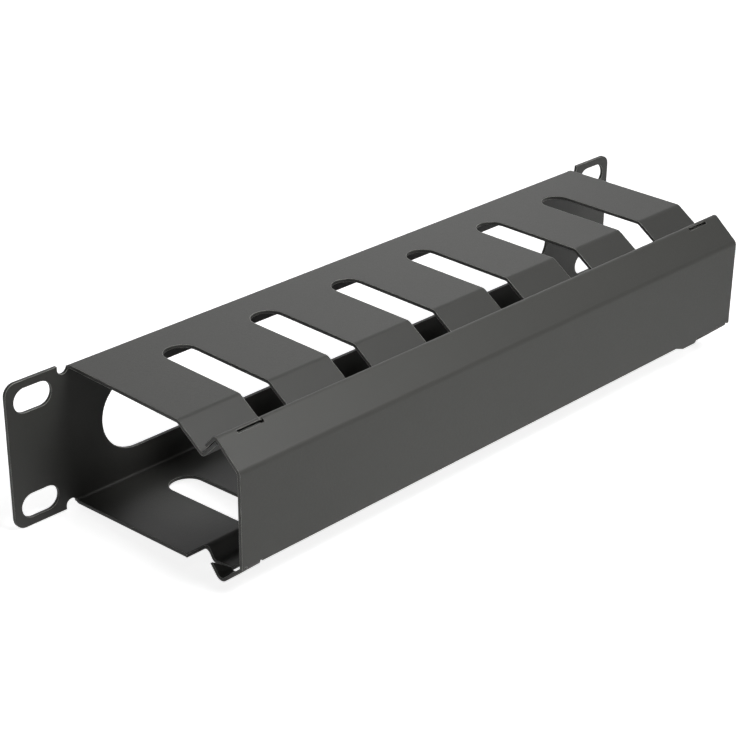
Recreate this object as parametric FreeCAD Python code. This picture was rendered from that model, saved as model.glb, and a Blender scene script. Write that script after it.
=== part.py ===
import FreeCAD, Part
import math
import os

# A horizontal cable manager for a ten-inch rack, one unit high. It is a channel with slotted roof
# and floor, folded from one steel sheet together with its rack ears, and a folded steel cover that
# hooks over the channel's front lip.
# X runs along the rack's width, the front is towards -Y and Z is up. The origin is the centre of
# the four rack holes, on the rear face of the ears. Lengths are in millimetres, angles in degrees.

# Rack panel: ten-inch width, one unit of height and the standard hole pattern
PANEL_WIDTH = 254.0
PANEL_HEIGHT = 43.7
EAR_WIDTH = 20.75
RACK_HOLE_INSET = 8.7375
RACK_HOLE_SPACING_Z = 31.75
RACK_HOLE_LENGTH = 12.4
RACK_HOLE_HEIGHT = 7.3
EAR_CORNER_RADIUS = 3.5

# Channel: the sheet, its web at the back, its roof and its floor, which rises towards the front and
# reaches a little further. The ears overreach the channel above and below
CHANNEL_SHEET = 1.0
EAR_OVERREACH = 0.45
WEB_BEND_RADIUS = 0.7
RELIEF_WIDTH = 3.6
RELIEF_DEPTH = 2.75
ROOF_DEPTH = 46.0
FLOOR_OVERREACH = 1.4
FLOOR_RISE = 3.3

# Front of the roof: a slope runs down into a gutter, and a lip rises out of it
GUTTER_FALL = 33.5
GUTTER_SLOPE_LENGTH = 11.0
LIP_RISE = 46.0
LIP_LENGTH = 7.2
ROOF_BEND_RADIUS = 1.2
GUTTER_BEND_RADIUS = 0.8

# Front of the floor: a step down to a narrow sill, both cut short of the channel's ends
STEP_FALL = 55.0
STEP_LENGTH = 4.25
SILL_RISE = 5.0
SILL_LENGTH = 7.3
SILL_INSET = 7.05
SILL_RELIEF_RADIUS = 1.0
STEP_BEND_RADIUS = 0.7

# Finger slots, the same in roof and floor, and the long opening in the web
SLOT_COUNT = 6
SLOT_PITCH = 32.0
SLOT_WIDTH = 10.2
SLOT_BACK = 11.8
WEB_OPENING_INSET = 10.3
WEB_OPENING_HEIGHT = 23.0

# Cover: a leg hangs behind the lip, a hood slopes forward from the crest, and a face closes the front
COVER_SHEET = 1.0
LEG_GAP = 0.25
LEG_LENGTH = 5.8
CREST_OVERRUN = 1.3
HOOD_FALL = 39.7
HOOD_LENGTH = 11.6
FACE_HEIGHT = 28.0
CREST_BEND_RADIUS = 0.3
FACE_BEND_RADIUS = 1.0

# Spring slits in the hood: an arm along the crest, and a short arm up to the crest at its inner end
SLIT_WIDTH = 0.9
SLIT_BELOW_CREST = 1.5
SLIT_END_INSET = 6.4
SLIT_LENGTH = 9.0

# Tabs under the face, beside the sill's ends: each slopes back and turns up in a hook, whose tip slants
# down towards the sill
TAB_SIDE_GAP = 0.8
TAB_WIDTH = 4.6
TAB_FALL = 41.0
TAB_LENGTH = 13.85
TAB_BEND_DROP = 0.3
TAB_BEND_RADIUS = 0.6
TAB_RELIEF_WIDTH = 0.7
HOOK_RISE = 50.5
HOOK_LENGTH = 6.0
HOOK_BEND_RADIUS = 1.5
HOOK_SLANT = 3.3

# Finger lug under the face, near its right end only: it slants down to the right and ends in a corner
LUG_INSET = 17.6
LUG_WIDTH = 10.8
LUG_SLANT = 3.8
LUG_DEPTH = 1.3
LUG_CORNER_RADIUS = 1.2

# How far a cutting tool reaches past the sheet that it cuts
CUT_MARGIN = 5.0

HALF_LENGTH = PANEL_WIDTH / 2 - EAR_WIDTH
CHANNEL_HEIGHT = PANEL_HEIGHT - 2 * EAR_OVERREACH
FLOOR_DEPTH = ROOF_DEPTH + FLOOR_OVERREACH


def backward(rise):
    """Direction in the side view, turned up from straight back (+Y) by an angle."""
    return (math.cos(math.radians(rise)), math.sin(math.radians(rise)))


def forward(fall):
    """Direction in the side view, turned down from straight forward (-Y) by an angle."""
    return (-math.cos(math.radians(fall)), -math.sin(math.radians(fall)))


def step_from(point, direction, distance):
    """The side-view point a distance away along a direction."""
    return (point[0] + distance * direction[0], point[1] + distance * direction[1])


def leaning(direction):
    """The direction turned a quarter to its left."""
    return (-direction[1], direction[0])


def direction_between(a, b):
    """Unit direction from one side-view point to another."""
    length = math.hypot(b[0] - a[0], b[1] - a[1])
    return ((b[0] - a[0]) / length, (b[1] - a[1]) / length)


def meeting(a, a_direction, b, b_direction):
    """Where two side-view lines cross."""
    cross = a_direction[0] * b_direction[1] - a_direction[1] * b_direction[0]
    along = ((b[0] - a[0]) * b_direction[1] - (b[1] - a[1]) * b_direction[0]) / cross
    return step_from(a, a_direction, along)


def offset_line(points, distance):
    """A folded line moved to its left by a distance, with mitred corners."""
    headings = [direction_between(a, b) for a, b in zip(points, points[1:])]
    moved = [step_from(points[0], leaning(headings[0]), distance)]
    for corner, before, after in zip(points[1:], headings, headings[1:]):
        on_before = step_from(corner, leaning(before), distance)
        on_after = step_from(corner, leaning(after), distance)
        moved.append(meeting(on_before, before, on_after, after))
    moved.append(step_from(points[-1], leaning(headings[-1]), distance))
    return moved


def in_space(point):
    """A side-view point as a point of the plane X = 0."""
    return FreeCAD.Vector(0, point[0], point[1])


def bend_reach(before, corner, after, radius):
    """How far an arc of a radius reaches from the corner along both of its sides."""
    arriving = direction_between(before, corner)
    leaving = direction_between(corner, after)
    turn = math.acos(arriving[0] * leaving[0] + arriving[1] * leaving[1])
    return radius * math.tan(turn / 2)


def rounded_line(points, radii):
    """Edges of a folded line whose inner corners are arcs of the given radii."""
    edges = []
    start = points[0]
    for before, corner, after, radius in zip(points, points[1:], points[2:], radii):
        arriving = direction_between(before, corner)
        leaving = direction_between(corner, after)
        tangent = bend_reach(before, corner, after, radius)
        bend_start = step_from(corner, arriving, -tangent)
        bend_end = step_from(corner, leaving, tangent)
        inwards = direction_between(corner, step_from(step_from(corner, leaving, 1), arriving, -1))
        bend_middle = step_from(corner, inwards, math.hypot(radius, tangent) - radius)
        edges.append(Part.LineSegment(in_space(start), in_space(bend_start)).toShape())
        arc = Part.Arc(in_space(bend_start), in_space(bend_middle), in_space(bend_end))
        edges.append(arc.toShape())
        start = bend_end
    edges.append(Part.LineSegment(in_space(start), in_space(points[-1])).toShape())
    return edges


def folded_sheet(skin, sheet, inside_radii, left, right):
    """A folded sheet between two X places. The skin is its outer face in the side view, and the
    sheet lies to the left of the skin, or to the right where its thickness is negative."""
    thickness = abs(sheet)
    skin_radii = []
    inner_radii = []
    for before, corner, after, radius in zip(skin, skin[1:], skin[2:], inside_radii):
        arriving = direction_between(before, corner)
        leaving = direction_between(corner, after)
        turns_left = arriving[0] * leaving[1] - arriving[1] * leaving[0] > 0
        skin_is_outside = turns_left == (sheet > 0)
        skin_radii.append(radius + thickness if skin_is_outside else radius)
        inner_radii.append(radius if skin_is_outside else radius + thickness)
    inner = offset_line(skin, sheet)
    edges = rounded_line(skin, skin_radii)
    edges.append(Part.LineSegment(in_space(skin[-1]), in_space(inner[-1])).toShape())
    edges += rounded_line(inner[::-1], inner_radii[::-1])
    edges.append(Part.LineSegment(in_space(inner[0]), in_space(skin[0])).toShape())
    section = Part.Face(Part.Wire(Part.__sortEdges__(edges)))
    section.translate(FreeCAD.Vector(left, 0, 0))
    return section.extrude(FreeCAD.Vector(right - left, 0, 0))


def obround_cutter(length, height, x, z):
    """A tool through the web or an ear, level and with round ends."""
    radius = height / 2
    reach = length / 2 - radius
    depth = FreeCAD.Vector(0, CHANNEL_SHEET + 2 * CUT_MARGIN, 0)
    start = -CHANNEL_SHEET - CUT_MARGIN
    low_left = FreeCAD.Vector(x - reach, start, z - radius)
    low_right = FreeCAD.Vector(x + reach, start, z - radius)
    high_right = FreeCAD.Vector(x + reach, start, z + radius)
    high_left = FreeCAD.Vector(x - reach, start, z + radius)
    right_end = FreeCAD.Vector(x + length / 2, start, z)
    left_end = FreeCAD.Vector(x - length / 2, start, z)
    outline = [Part.LineSegment(low_left, low_right).toShape(),
               Part.Arc(low_right, right_end, high_right).toShape(),
               Part.LineSegment(high_right, high_left).toShape(),
               Part.Arc(high_left, left_end, low_left).toShape()]
    return Part.Face(Part.Wire(outline)).extrude(depth)


def mirrored(shape):
    """The shape's twin at the other end."""
    return shape.mirror(FreeCAD.Vector(0, 0, 0), FreeCAD.Vector(1, 0, 0))


def both_ends(shape):
    """The shape and its mirror image at the other end."""
    return [shape, mirrored(shape)]


# Side view of the channel's outer face, from the lip's tip over the roof, down the web and forward
# along the floor to the sill's edge
roof_front = (-ROOF_DEPTH, CHANNEL_HEIGHT / 2)
lip_direction = forward(-LIP_RISE)
gutter = step_from(roof_front, forward(GUTTER_FALL), GUTTER_SLOPE_LENGTH)
lip_tip = step_from(gutter, lip_direction, LIP_LENGTH)
web_top = (0, CHANNEL_HEIGHT / 2)
web_bottom = (0, -CHANNEL_HEIGHT / 2)
floor_front = (-FLOOR_DEPTH, web_bottom[1] + FLOOR_DEPTH * math.tan(math.radians(FLOOR_RISE)))
sill_back = step_from(floor_front, forward(STEP_FALL), STEP_LENGTH)
sill_edge = step_from(sill_back, forward(-SILL_RISE), SILL_LENGTH)

# Side view of the cover's outer face. The leg is parallel to the lip, and the crest stands a little
# past the lip's tip
leg_line = step_from(lip_tip, leaning(lip_direction), -(LEG_GAP + COVER_SHEET))
crest = step_from(leg_line, lip_direction, CREST_OVERRUN)
leg_end = step_from(crest, lip_direction, -LEG_LENGTH)
face_top = step_from(crest, forward(HOOD_FALL), HOOD_LENGTH)
face_bottom = (face_top[0], face_top[1] - FACE_HEIGHT)

# Side view of a tab's outer face, from half-way up the cover's face back to the hook's tip
tab_root = (face_bottom[0], face_bottom[1] + FACE_HEIGHT / 2)
tab_bend = (face_bottom[0], face_bottom[1] - TAB_BEND_DROP)
tab_heel = step_from(tab_bend, backward(-TAB_FALL), TAB_LENGTH)
hook_tip = step_from(tab_heel, backward(HOOK_RISE), HOOK_LENGTH)

sill_end = HALF_LENGTH - SILL_INSET
tab_inner = sill_end + TAB_SIDE_GAP
tab_outer = tab_inner + TAB_WIDTH


def finger_slot(x):
    """A tool that opens one slot through roof, floor, gutter, lip and sill, round at its back."""
    radius = SLOT_WIDTH / 2
    centre = -SLOT_BACK - radius
    front = min(lip_tip[0], sill_edge[0]) - CHANNEL_SHEET - CUT_MARGIN
    low = -CHANNEL_HEIGHT / 2 - CUT_MARGIN
    front_left = FreeCAD.Vector(x - radius, front, low)
    back_left = FreeCAD.Vector(x - radius, centre, low)
    back = FreeCAD.Vector(x, -SLOT_BACK, low)
    back_right = FreeCAD.Vector(x + radius, centre, low)
    front_right = FreeCAD.Vector(x + radius, front, low)
    outline = [Part.LineSegment(front_left, back_left).toShape(),
               Part.Arc(back_left, back, back_right).toShape(),
               Part.LineSegment(back_right, front_right).toShape(),
               Part.LineSegment(front_right, front_left).toShape()]
    height = FreeCAD.Vector(0, 0, CHANNEL_HEIGHT + 2 * CUT_MARGIN)
    return Part.Face(Part.Wire(outline)).extrude(height)


def right_ear():
    """The right rack ear: a flat plate with rounded corners, two obround holes and two reliefs."""
    corner = FreeCAD.Vector(HALF_LENGTH, -CHANNEL_SHEET, -PANEL_HEIGHT / 2)
    plate = Part.makeBox(EAR_WIDTH, CHANNEL_SHEET, PANEL_HEIGHT, corner)
    middle = HALF_LENGTH + EAR_WIDTH / 2
    outer_edges = [edge for edge in plate.Edges
                   if edge.BoundBox.YLength > CHANNEL_SHEET / 2 and edge.BoundBox.XMin > middle]
    plate = plate.makeFillet(EAR_CORNER_RADIUS, outer_edges)
    hole_x = PANEL_WIDTH / 2 - RACK_HOLE_INSET
    tools = []
    for side in (-1, 1):
        hole_z = side * RACK_HOLE_SPACING_Z / 2
        tools.append(obround_cutter(RACK_HOLE_LENGTH, RACK_HOLE_HEIGHT, hole_x, hole_z))
        tools.append(relief(side))
    return plate.cut(tools)


def relief(side):
    """A round-bottomed notch between the ear and the roof's bend, or the floor's where side is -1."""
    radius = RELIEF_WIDTH / 2
    centre_z = side * (PANEL_HEIGHT / 2 - RELIEF_DEPTH + radius)
    start = -CHANNEL_SHEET - CUT_MARGIN
    depth = CHANNEL_SHEET + 2 * CUT_MARGIN
    centre = FreeCAD.Vector(HALF_LENGTH + radius, start, centre_z)
    round_end = Part.makeCylinder(radius, depth, centre, FreeCAD.Vector(0, 1, 0))
    mouth_low = min(centre_z, centre_z + side * RELIEF_DEPTH)
    corner = FreeCAD.Vector(HALF_LENGTH, start, mouth_low)
    mouth = Part.makeBox(RELIEF_WIDTH, depth, RELIEF_DEPTH, corner)
    return round_end.fuse(mouth)


def sill_end_cutter():
    """A tool that takes step and sill off the right end of the floor, with a rounded inner corner."""
    reach = FLOOR_DEPTH
    low = sill_back[1] - CHANNEL_SHEET - CUT_MARGIN
    corner = FreeCAD.Vector(sill_end, floor_front[0] - reach, low)
    block = Part.makeBox(SILL_INSET + CUT_MARGIN, reach, 2 * CUT_MARGIN + STEP_LENGTH, corner)
    inner_edge = [edge for edge in block.Edges
                  if edge.BoundBox.ZLength > CUT_MARGIN
                  and edge.BoundBox.XMax < sill_end + SILL_INSET
                  and edge.BoundBox.YMin > floor_front[0] - reach / 2]
    return block.makeFillet(SILL_RELIEF_RADIUS, inner_edge)


def cable_trough():
    """The channel and its two ears, folded from one sheet."""
    skin = [lip_tip, gutter, roof_front, web_top, web_bottom, floor_front, sill_back, sill_edge]
    radii = [GUTTER_BEND_RADIUS, ROOF_BEND_RADIUS, WEB_BEND_RADIUS, WEB_BEND_RADIUS,
             STEP_BEND_RADIUS, STEP_BEND_RADIUS]
    channel = folded_sheet(skin, -CHANNEL_SHEET, radii, -HALF_LENGTH, HALF_LENGTH)
    first_slot = -SLOT_PITCH * (SLOT_COUNT - 1) / 2
    tools = [finger_slot(first_slot + number * SLOT_PITCH) for number in range(SLOT_COUNT)]
    opening_length = 2 * (HALF_LENGTH - WEB_OPENING_INSET)
    tools.append(obround_cutter(opening_length, WEB_OPENING_HEIGHT, 0, 0))
    tools += both_ends(sill_end_cutter())
    channel = channel.cut(tools)
    return channel.fuse(both_ends(right_ear())).removeSplitter()


def sloping_box(origin, direction, width, length, height):
    """A tool on a sloping face: it starts at an X place and a side-view point, runs along the
    direction and stands half its height to each side of the face."""
    tip = math.degrees(math.atan2(direction[1], direction[0]))
    box = Part.makeBox(width, length, height, FreeCAD.Vector(0, 0, -height / 2))
    box.rotate(FreeCAD.Vector(0, 0, 0), FreeCAD.Vector(1, 0, 0), tip)
    box.translate(FreeCAD.Vector(origin[0], origin[1], origin[2]))
    return box


def spring_slit():
    """The L-shaped slit at the right end of the hood."""
    down_hood = forward(HOOD_FALL)
    depth = COVER_SHEET + CUT_MARGIN
    outer = HALF_LENGTH - SLIT_END_INSET
    inner = outer - SLIT_LENGTH
    arm_start = step_from(crest, down_hood, SLIT_BELOW_CREST - SLIT_WIDTH / 2)
    long_arm = sloping_box((inner, *arm_start), down_hood, SLIT_LENGTH, SLIT_WIDTH, depth)
    foot = step_from(crest, down_hood, COVER_SHEET / 2)
    short_arm = sloping_box((inner, *foot), down_hood, SLIT_WIDTH, SLIT_BELOW_CREST, COVER_SHEET)
    return long_arm.fuse(short_arm)


def hook_trim():
    """A tool that slants the right hook's tip: it keeps its length on the outer side only."""
    up_hook = backward(HOOK_RISE)
    across = leaning(up_hook)
    level = step_from(hook_tip, across, -CUT_MARGIN)
    corners = []
    for x in (tab_inner - CUT_MARGIN, tab_outer + CUT_MARGIN):
        slanted = step_from(level, up_hook, HOOK_SLANT * (x - tab_outer) / TAB_WIDTH)
        corners.append(FreeCAD.Vector(x, slanted[0], slanted[1]))
    beyond = step_from(level, up_hook, HOOK_SLANT + 2 * CUT_MARGIN)
    corners.append(FreeCAD.Vector(tab_outer + CUT_MARGIN, beyond[0], beyond[1]))
    corners.append(FreeCAD.Vector(tab_inner - CUT_MARGIN, beyond[0], beyond[1]))
    outline = Part.makePolygon(corners + corners[:1])
    depth = FreeCAD.Vector(0, across[0], across[1]) * (2 * CUT_MARGIN)
    return Part.Face(outline).extrude(depth)


def right_tab():
    """The right tab, from the cover's face back and up into its hook."""
    skin = [tab_root, tab_bend, tab_heel, hook_tip]
    radii = [TAB_BEND_RADIUS, HOOK_BEND_RADIUS]
    return folded_sheet(skin, COVER_SHEET, radii, tab_inner, tab_outer).cut(hook_trim())


def tab_relief():
    """A tool that clears the face's bottom edge at the right tab's bend and a little to each side."""
    bend = bend_reach(tab_root, tab_bend, tab_heel, TAB_BEND_RADIUS + COVER_SHEET)
    low = tab_bend[1] + bend - CUT_MARGIN
    corner = FreeCAD.Vector(tab_inner - TAB_RELIEF_WIDTH, face_bottom[0] - CUT_MARGIN, low)
    return Part.makeBox(TAB_WIDTH + 2 * TAB_RELIEF_WIDTH, 2 * CUT_MARGIN, CUT_MARGIN, corner)


def finger_lug():
    """The lug that hangs from the face's bottom edge, in the face's own plane."""
    y = face_bottom[0]
    right = HALF_LENGTH - LUG_INSET
    left = right - LUG_WIDTH
    low = face_bottom[1] - LUG_DEPTH
    corners = [FreeCAD.Vector(left, y, face_bottom[1]),
               FreeCAD.Vector(left + LUG_SLANT, y, low),
               FreeCAD.Vector(right, y, low),
               FreeCAD.Vector(right, y, face_bottom[1])]
    plate = Part.Face(Part.makePolygon(corners + corners[:1])).extrude(FreeCAD.Vector(0, COVER_SHEET, 0))
    low_corner = [edge for edge in plate.Edges
                  if edge.BoundBox.XMin > right - LUG_CORNER_RADIUS and edge.BoundBox.ZMax < face_bottom[1]]
    return plate.makeFillet(LUG_CORNER_RADIUS, low_corner)


def front_cover():
    """The cover, folded from one sheet, with a spring slit and a tab near each end, and its lug."""
    skin = [leg_end, crest, face_top, face_bottom]
    radii = [CREST_BEND_RADIUS, FACE_BEND_RADIUS]
    cover = folded_sheet(skin, COVER_SHEET, radii, -HALF_LENGTH, HALF_LENGTH)
    cover = cover.cut(both_ends(spring_slit()) + both_ends(tab_relief()))
    return cover.fuse(both_ends(right_tab()) + [finger_lug()]).removeSplitter()


os.makedirs("parts", exist_ok=True)
for name, shape in (("cable_trough", cable_trough()), ("front_cover", front_cover())):
    shape.exportStep("parts/" + name + ".step")
    box = shape.BoundBox
    print(name, "solids", len(shape.Solids), "valid", shape.isValid(), "volume", round(shape.Volume, 1))
    print("  from", round(box.XMin, 2), round(box.YMin, 2), round(box.ZMin, 2),
          "to", round(box.XMax, 2), round(box.YMax, 2), round(box.ZMax, 2))
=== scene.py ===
# %% [markdown]
# # A folded-steel cable manager, dressed for the camera
# The object is a one-unit cable manager for a ten-inch rack: a slotted steel channel with a cover
# that hooks over its front lip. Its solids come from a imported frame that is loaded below, already in
# place and at their real size. What this file adds is the paint, the light and the camera, and a
# reader who is new to Blender can follow how each of them is built from a few real measurements.

# %% Load the frame
import math

import bpy
from mathutils import Matrix, Vector


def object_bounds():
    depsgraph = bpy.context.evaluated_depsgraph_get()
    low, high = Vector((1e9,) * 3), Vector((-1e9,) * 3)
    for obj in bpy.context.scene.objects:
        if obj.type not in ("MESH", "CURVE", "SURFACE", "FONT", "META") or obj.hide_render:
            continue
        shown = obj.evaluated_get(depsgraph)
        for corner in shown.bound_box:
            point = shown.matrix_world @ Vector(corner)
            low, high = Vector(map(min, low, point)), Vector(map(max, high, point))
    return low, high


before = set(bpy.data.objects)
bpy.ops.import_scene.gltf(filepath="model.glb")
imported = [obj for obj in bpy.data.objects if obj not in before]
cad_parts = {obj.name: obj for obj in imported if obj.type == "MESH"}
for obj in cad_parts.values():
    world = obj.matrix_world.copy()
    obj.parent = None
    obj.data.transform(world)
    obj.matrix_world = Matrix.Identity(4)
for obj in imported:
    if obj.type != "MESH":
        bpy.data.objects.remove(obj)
cad_box = [list(map(float, corner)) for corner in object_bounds()]
print("solids:", sorted(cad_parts))

# %% [markdown]
# ## Units and colours
# Everything in the frame is in metres, while paint grain and edge wear are easier to think about in
# millimetres. Colours are written the way a paint chart or a browser writes them, as sRGB hex, and
# one function turns them to the linear values that a shader expects.

# %% Units and colours
MM = 0.001
WHITE = "#ffffff"


def linear(hex_colour):
    """An sRGB hex colour as linear red, green, blue and alpha."""
    channels = [int(hex_colour[place:place + 2], 16) / 255 for place in (1, 3, 5)]
    return [c / 12.92 if c <= 0.04045 else ((c + 0.055) / 1.055) ** 2.4 for c in channels] + [1.0]


print("the grey #808080 reflects", round(linear("#808080")[0], 3), "of the light, not half of it")

# %% [markdown]
# ## One helper for shader nodes
# A node tree is a set of boxes joined by wires. This helper adds one box, sets its properties, fills
# in the sockets that hold plain values and draws a wire to the sockets that are given another
# node's output.

# %% The node helper
def add_node(tree, kind, settings=None, **sockets):
    """Adds a node of a kind. A socket is named by its label in lower case with underscores, or by
    its number after an s, and takes either a plain value or another node's output socket."""
    node = tree.nodes.new(kind)
    for name, value in (settings or {}).items():
        setattr(node, name, value)
    for name, value in sockets.items():
        if name[0] == "s" and name[1:].isdigit():
            socket = node.inputs[int(name[1:])]
        else:
            socket = next(s for s in node.inputs if s.name.lower().replace(" ", "_") == name)
        if isinstance(value, bpy.types.NodeSocket):
            tree.links.new(value, socket)
        else:
            socket.default_value = value
    return node


# %% [markdown]
# ## The paint: polyester powder coat
# Rack hardware is sprayed with a dry polyester powder and baked. The powder melts into a film about
# 70 micrometres thick, black with a little warm grey in it. To the eye it is a dark neutral without
# any depth or sparkle, which shines softly at a low angle.
#
# One flat colour would do from far away. Close up a real film varies: it is sprayed by hand, so
# its tone drifts by a shade from place to place. A noise whose patches are as wide as a pass of the
# spray gun's edge mixes two near shades and gives that drift.

# %% Paint: colour
TONE_PATCH = 45 * MM


def film_tone(tree, place, pigment):
    """The film's colour, which drifts between two near shades."""
    patches = add_node(tree, "ShaderNodeTexNoise", vector=place, scale=1 / TONE_PATCH,
                       detail=3.0, roughness=0.55)
    tone = add_node(tree, "ShaderNodeMix", {"data_type": "RGBA"}, s0=patches.outputs[0],
                    s6=linear(pigment[0]), s7=linear(pigment[1]))
    return tone.outputs[2]


print("the tone drifts over about", round(TONE_PATCH / MM), "mm")

# %% [markdown]
# ## Rounded edges with a painted highlight
# The film draws back from sharp cut edges while it melts, so they come out rounded, and the first
# handling polishes them. A thin pale line runs round each sheet where those rounded edges catch the
# light. The solids keep their sharp edges, so the Bevel node rounds only the shading, and the pale
# line is painted on as a highlight: a pale colour along the edges, with a lower roughness for the
# polish. Where its rounded normal turns well away from the face's own normal, there is an edge. The
# turn that counts starts at 13 degrees, because the wide bends of the sheet stay below that and get
# neither. A noise makes the painted highlight and the polish stronger in some places than in others.

# %% Paint: edges
EDGE_ROUNDING = 0.36 * MM
EDGE_SAMPLES = 6
EDGE_STARTS = math.cos(math.radians(13))
EDGE_IS_FULL = math.cos(math.radians(28))
EDGE_PATCH_LENGTH = 6 * MM
EDGE_PATCH_NOISE = (0.35, 0.65)
LEAST_EDGE_STRENGTH = 0.5


# this mask places a painted highlight (pale colour) and a smoother polish along the cut edges
def edge_highlight_and_polish_mask(tree, place, rounded):
    """One on a cut edge, where the painted highlight and the polish go, and nought on faces and bends.
    """
    face = add_node(tree, "ShaderNodeNewGeometry").outputs["Normal"]
    turn = add_node(tree, "ShaderNodeVectorMath", {"operation": "DOT_PRODUCT"}, s0=rounded, s1=face)
    edge = add_node(tree, "ShaderNodeMapRange", value=turn.outputs["Value"],
                    from_min=EDGE_STARTS, from_max=EDGE_IS_FULL, to_min=0.0, to_max=1.0)
    edge_patches = add_node(tree, "ShaderNodeTexNoise", vector=place, scale=1 / EDGE_PATCH_LENGTH, detail=4.0)
    strength = add_node(tree, "ShaderNodeMapRange", value=edge_patches.outputs[0],
                        from_min=EDGE_PATCH_NOISE[0], from_max=EDGE_PATCH_NOISE[1], to_min=LEAST_EDGE_STRENGTH, to_max=1.0)
    highlight_and_polish = add_node(tree, "ShaderNodeMath", {"operation": "MULTIPLY"}, s0=edge.outputs[0],
                      s1=strength.outputs[0])
    return highlight_and_polish.outputs[0]


print("edges shade as if rounded by", round(EDGE_ROUNDING / MM, 2), "mm")

# %% [markdown]
# ## Orange peel and satin grain
# A powder film is never quite flat. It keeps an orange peel of soft dimples half a millimetre to a
# millimetre apart, which breaks up the sheen, and a satin grain that comes from the matting agent in
# the powder. The real grain is about 0.05 mm, too fine for a picture of this size, so it is drawn
# about four times as coarse. Two bump nodes, one on the other, give both without changing the mesh,
# and the grain also makes the roughness waver.

# %% Paint: relief
ORANGE_PEEL_SPACING = 0.9 * MM
ORANGE_PEEL_DEPTH = 0.05 * MM
ORANGE_PEEL_STRENGTH = 0.35
SATIN_GRAIN = 0.22 * MM
SATIN_DEPTH = 0.03 * MM
SATIN_STRENGTH = 0.10


def film_relief(tree, place, grain, rounded):
    """The film's normal: a satin grain on the rounded edges, and an orange peel over it."""
    fine = add_node(tree, "ShaderNodeBump", strength=SATIN_STRENGTH, distance=SATIN_DEPTH,
                    height=grain, normal=rounded)
    peel = add_node(tree, "ShaderNodeTexNoise", vector=place, scale=1 / ORANGE_PEEL_SPACING,
                    detail=1.0)
    dimples = add_node(tree, "ShaderNodeBump", strength=ORANGE_PEEL_STRENGTH,
                       distance=ORANGE_PEEL_DEPTH, height=peel.outputs[0], normal=fine.outputs[0])
    return dimples.outputs[0]


print("dimples", round(ORANGE_PEEL_SPACING / MM, 1), "mm apart")
print("a grain of", round(SATIN_GRAIN / MM, 2), "mm")

# %% [markdown]
# ## The whole coat
# Paint is a dielectric, so it has no metallic part, and a polyester film has an index of refraction
# near 1.5. A satin film has a roughness near a half, which is rough enough to blur a lamp into a
# wide pale patch. A polished edge is smoother. The texture's place is read in the object's own
# coordinates, so the pattern stays on the cover when the cover is lifted off.

# %% Paint: the coat
PAINT_IOR = 1.5
GRAIN_NOISE = (0.3, 0.7)
SATIN_ROUGHNESS = (0.48, 0.60)
POLISHED_ROUGHNESS = 0.36
# the pale colour of the painted highlight along the cut edges
PAINTED_EDGE_HIGHLIGHT = "#b4b4ae"


def powder_coat(name, pigment, seed):
    """Satin polyester powder coat on folded steel."""
    material = bpy.data.materials.new(name)
    material.use_nodes = True
    tree = material.node_tree
    tree.nodes.clear()
    own = add_node(tree, "ShaderNodeTexCoord").outputs["Object"]
    place = add_node(tree, "ShaderNodeMapping", location=(seed, seed, 0), vector=own).outputs[0]
    rounded = add_node(tree, "ShaderNodeBevel", {"samples": EDGE_SAMPLES},
                       radius=EDGE_ROUNDING).outputs[0]
    highlight_and_polish = edge_highlight_and_polish_mask(tree, place, rounded)

    # painted highlight: the colour turns pale along the cut edges where the mask is one
    colour = add_node(tree, "ShaderNodeMix", {"data_type": "RGBA"}, s0=highlight_and_polish,
                      s6=film_tone(tree, place, pigment), s7=linear(PAINTED_EDGE_HIGHLIGHT))
    grain = add_node(tree, "ShaderNodeTexNoise", vector=place, scale=1 / SATIN_GRAIN, detail=2.0)
    satin = add_node(tree, "ShaderNodeMapRange", value=grain.outputs[0],
                     from_min=GRAIN_NOISE[0], from_max=GRAIN_NOISE[1],
                     to_min=SATIN_ROUGHNESS[0], to_max=SATIN_ROUGHNESS[1])
    gloss = add_node(tree, "ShaderNodeMix", {"data_type": "FLOAT"}, s0=highlight_and_polish,
                     s2=satin.outputs[0], s3=POLISHED_ROUGHNESS)
    coat = add_node(tree, "ShaderNodeBsdfPrincipled", base_color=colour.outputs[2],
                    roughness=gloss.outputs[0], ior=PAINT_IOR,
                    normal=film_relief(tree, place, grain.outputs[0], rounded))
    add_node(tree, "ShaderNodeOutputMaterial", surface=coat.outputs[0])
    print(name, "has", len(tree.nodes), "nodes")
    return material


# %% [markdown]
# ## Painting the two sheets
# The trough and its cover hang on the line one after the other, so they get the same powder, and the
# cover comes out a hair lighter. Each sheet is one solid with one finish all over, so every material
# slot of a solid takes the same coat. A different seed moves the noise, so that the two sheets don't
# carry the same marks.

# %% Paint the sheets
TROUGH_PIGMENT = ("#383836", "#3d3d3a")
COVER_PIGMENT = ("#3c3c39", "#40403d")


def paint(node, material):
    """Gives a carried-over solid one material all over."""
    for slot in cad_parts[node].material_slots:
        slot.material = material
    print(node, "is painted with", material.name)


paint("cable_trough", powder_coat("polyester powder coat, trough", TROUGH_PIGMENT, 0.0))
paint("front_cover", powder_coat("polyester powder coat, cover", COVER_PIGMENT, 0.37))

# %% [markdown]
# ## A white that is only looked at
# The photograph is a cut-out on pure white. More light would bleach the object too, so the white is
# made where it is looked at. The Light Path node tells a shader which kind of ray has met it. A ray
# from the camera sees the full white. A ray that the satin paint has mirrored sees only a share of
# it, because the floor that it meets is already lit by the lamps. A ray that gathers light for the
# paint's own colour sees none of it.

# %% What a ray sees
BACKDROP_GLOW = 0.86
MIRRORED_SHARE = 0.58


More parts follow.
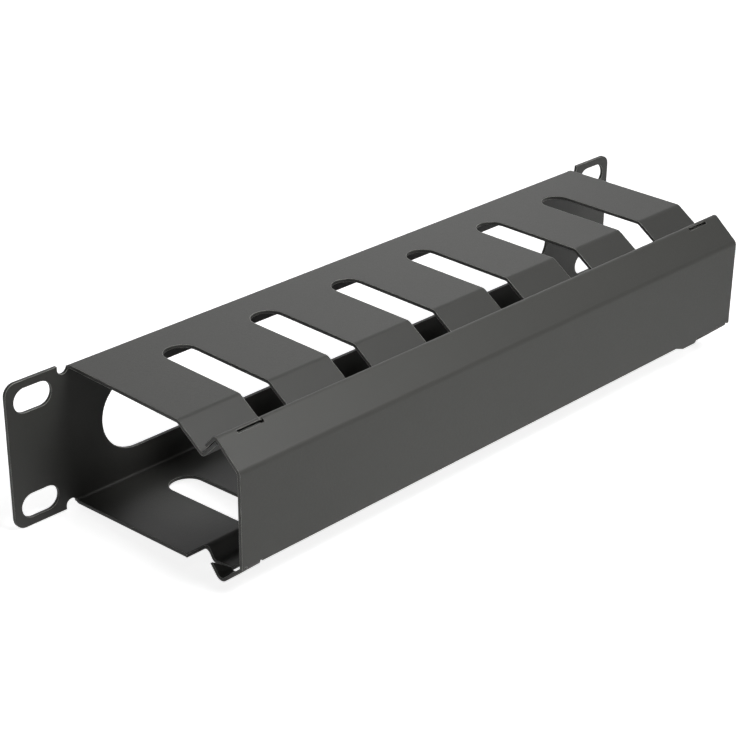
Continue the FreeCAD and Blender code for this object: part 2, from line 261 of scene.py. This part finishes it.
def seen_as_backdrop(tree):
    """One for camera rays, a share for rays off gloss or through glass, nought for others."""
    ray = add_node(tree, "ShaderNodeLightPath")
    mirrored = add_node(tree, "ShaderNodeMath", {"operation": "ADD", "use_clamp": True},
                        s0=ray.outputs["Is Glossy Ray"], s1=ray.outputs["Is Transmission Ray"])
    seen = add_node(tree, "ShaderNodeMath", {"operation": "MULTIPLY_ADD", "use_clamp": True},
                    s0=mirrored.outputs[0], s1=MIRRORED_SHARE, s2=ray.outputs["Is Camera Ray"])
    return seen.outputs[0]


print("the sheen mirrors a glow of", round(BACKDROP_GLOW * MIRRORED_SHARE, 2))

# %% [markdown]
# ## Floor
# The floor is a plain matt sheet a hair below the lowest point of the object's box, which is the
# step along the trough's sill, so that the two never lie in one plane. It glows only where it is
# looked at, and under the lamps it still keeps a soft shadow of the object.

# %% Floor
FLOOR_SIZE = 12.0
FLOOR_DROP = 0.05 * MM
PAPER = "#f4f4f4"


def white_paper():
    """Matt white paper, with a glow for the rays that see it as a backdrop."""
    paper = bpy.data.materials.new("matt white paper")
    paper.use_nodes = True
    tree = paper.node_tree
    tree.nodes.clear()
    sheet = add_node(tree, "ShaderNodeBsdfDiffuse", color=linear(PAPER))
    strength = add_node(tree, "ShaderNodeMath", {"operation": "MULTIPLY"},
                        s0=seen_as_backdrop(tree), s1=BACKDROP_GLOW)
    glow = add_node(tree, "ShaderNodeEmission", color=linear(WHITE), strength=strength.outputs[0])
    both = add_node(tree, "ShaderNodeAddShader", s0=sheet.outputs[0], s1=glow.outputs[0])
    add_node(tree, "ShaderNodeOutputMaterial", surface=both.outputs[0])
    return paper


floor_height = cad_box[0][2] - FLOOR_DROP
bpy.ops.mesh.primitive_plane_add(size=FLOOR_SIZE, location=(0, 0, floor_height))
floor = bpy.context.object
floor.name = "floor"
floor.data.materials.append(white_paper())
print("floor at", round(floor_height / MM, 2), "mm")

# %% [markdown]
# ## Light
# Dark paint shows light more by its sheen than by its colour, so where the lamps stand matters more
# than how strong they are. The photograph gives their places away: the roof grows lighter toward the
# right, the hood grows darker toward it, and the left ear and the inside stay deep in shade. A small
# box hangs close above the front and faces the left end, which gives the hood its fall of light. A
# high sheet lights the slopes, and two sheets behind on the right skim over the roof. A far low
# sheet adds a little on the face, and nothing shines from the left. The lamps are soft boxes, each
# an area lamp that faces its target, and they are hidden from the camera so that none hangs in
# another view.

# %% Lamps
def soft_box(name, place, target, size, watts):
    """A square area lamp that faces a point."""
    lamp = bpy.data.lights.new(name, "AREA")
    lamp.shape = "SQUARE"
    lamp.size = size
    lamp.energy = watts
    holder = bpy.data.objects.new(name, lamp)
    bpy.context.scene.collection.objects.link(holder)
    holder.location = place
    holder.visible_camera = False
    holder.rotation_euler = (Vector(target) - Vector(place)).to_track_quat("-Z", "Y").to_euler()
    print(name, "of", size, "m gives", watts, "W")


middle = (Vector(cad_box[0]) + Vector(cad_box[1])) / 2
left_end = Vector((cad_box[0][0], middle.y, middle.z))
soft_box("far front sheet", (1.00, -2.76, 0.62), middle, size=1.0, watts=1.5)
soft_box("upper right sheet", (0.42, -0.42, 1.04), middle, size=0.8, watts=3.1)
soft_box("back right sheet", (0.97, 1.15, 0.55), middle, size=0.8, watts=3.2)
soft_box("right side sheet", (1.36, 0.64, 0.55), middle, size=0.8, watts=1.4)
soft_box("near left box", (-0.02, -0.22, 0.31), left_end, size=0.15, watts=0.78)

# %% [markdown]
# ## The room
# The walls of the room are as pale as the far floor up to about ten degrees, and its ceiling is
# dimmer. The camera and the paint's sheen see it; the paint's own colour takes only a trace of light
# from it. The world is told the direction that a ray looks in, and the height of that direction is
# the sine of its angle above the floor.

# %% World
ROOM_FILL = 0.02
CEILING_GLOW = 0.55
WALL_TOP = math.sin(math.radians(10))
CEILING_START = math.sin(math.radians(25))


def studio_room():
    """A pale room around the object, seen but hardly shining."""
    world = bpy.data.worlds.new("studio room")
    world.use_nodes = True
    tree = world.node_tree
    tree.nodes.clear()
    looked_at = add_node(tree, "ShaderNodeTexCoord").outputs["Generated"]
    height = add_node(tree, "ShaderNodeSeparateXYZ", vector=looked_at).outputs["Z"]
    glow = add_node(tree, "ShaderNodeMapRange", value=height, from_min=WALL_TOP,
                    from_max=CEILING_START, to_min=BACKDROP_GLOW, to_max=CEILING_GLOW)
    fill = add_node(tree, "ShaderNodeBackground", color=linear(WHITE), strength=ROOM_FILL)
    seen = add_node(tree, "ShaderNodeBackground", color=linear(WHITE), strength=glow.outputs[0])
    room = add_node(tree, "ShaderNodeMixShader", s0=seen_as_backdrop(tree), s1=fill.outputs[0],
                    s2=seen.outputs[0])
    add_node(tree, "ShaderNodeOutputWorld", surface=room.outputs[0])
    return world


bpy.context.scene.world = studio_room()
print("room: fill", ROOM_FILL, "wall", BACKDROP_GLOW, "ceiling", CEILING_GLOW)

# %% [markdown]
# ## Camera
# The camera's place comes from the photograph: the rack holes and the plate's height and width are
# standard sizes, so their places in the picture fix where the camera stood. It looks down from the
# front left, about 0.6 m from the middle of the object, with a long lens. Blender takes the lens and
# the sensor in millimetres.

# %% Camera
CAMERA_PLACE = (-379.04 * MM, -378.15 * MM, 245.96 * MM)
CAMERA_AZIMUTH = -45.80
CAMERA_ELEVATION = 26.14
CAMERA_ROLL = 0.42
LENS = 93.49
SENSOR = 36.0


def camera_turn(azimuth, elevation, roll):
    """The camera's orientation. Azimuth 0 looks along +Y, and roll tips its right side up."""
    side, height, tip = (math.radians(angle) for angle in (azimuth, elevation, roll))
    level = math.cos(height)
    back = Vector((math.sin(side) * level, -math.cos(side) * level, math.sin(height)))
    right = Vector((0, 0, 1)).cross(back).normalized()
    up = back.cross(right)
    tipped_right = math.cos(tip) * right + math.sin(tip) * up
    tipped_up = math.cos(tip) * up - math.sin(tip) * right
    return Matrix((tipped_right, tipped_up, back)).transposed().to_4x4()


view = bpy.data.cameras.new("photo view")
view.lens = LENS
view.sensor_width = SENSOR
view.clip_start = 10 * MM
camera = bpy.data.objects.new("photo view", view)
bpy.context.scene.collection.objects.link(camera)
turn = camera_turn(CAMERA_AZIMUTH, CAMERA_ELEVATION, CAMERA_ROLL)
camera.matrix_world = Matrix.Translation(CAMERA_PLACE) @ turn
bpy.context.scene.camera = camera
bpy.context.scene.view_settings.view_transform = "Standard"
print("camera at", [round(place / MM) for place in CAMERA_PLACE], "mm")
